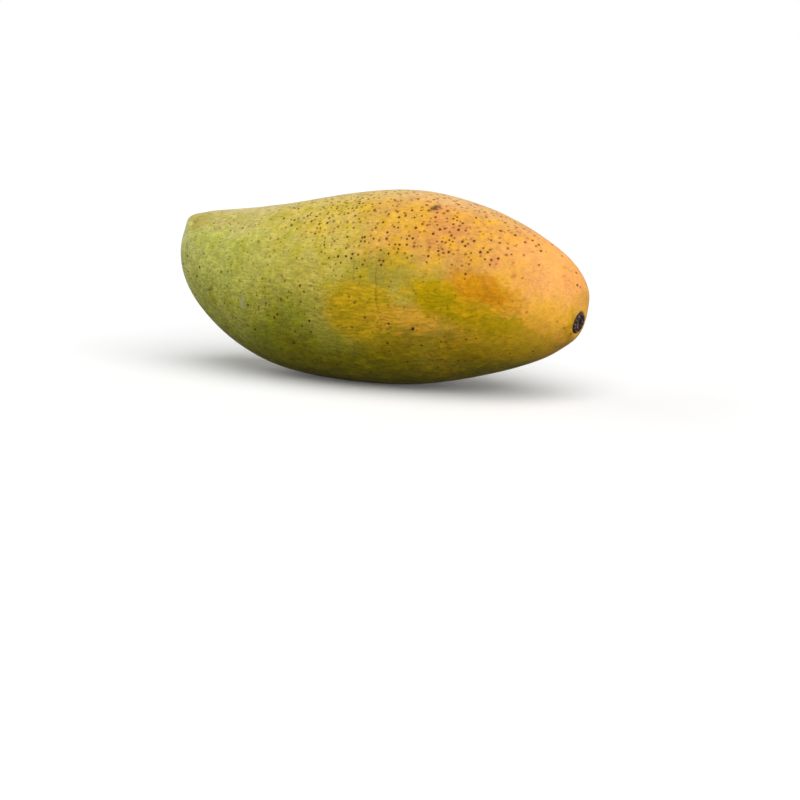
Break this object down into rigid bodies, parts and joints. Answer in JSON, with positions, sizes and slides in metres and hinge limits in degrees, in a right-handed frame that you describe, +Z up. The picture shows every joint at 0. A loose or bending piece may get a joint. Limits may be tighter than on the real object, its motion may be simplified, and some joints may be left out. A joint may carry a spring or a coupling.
{
  "type": "mango",
  "caption": "Whole ripening long mango with an upturned nose and a dried stalk stub, lying on a small flat spot on its edge.",
  "frame": {"origin": "on the surface the fruit lies on, under the middle of its length and width", "axes": "+X along the fruit from its nose to its stem end, +Y across it, +Z up from the surface it lies on; the nose hooks upwards"},
  "size_m": [0.1641, 0.0587, 0.0684],
  "materials": {
    "skin": "satin",
    "stalk": "matte"
  },
  "bodies": {
    "root": {"fruit": "skin", "stalk_stub": "stalk"}
  },
  "joints": []
}
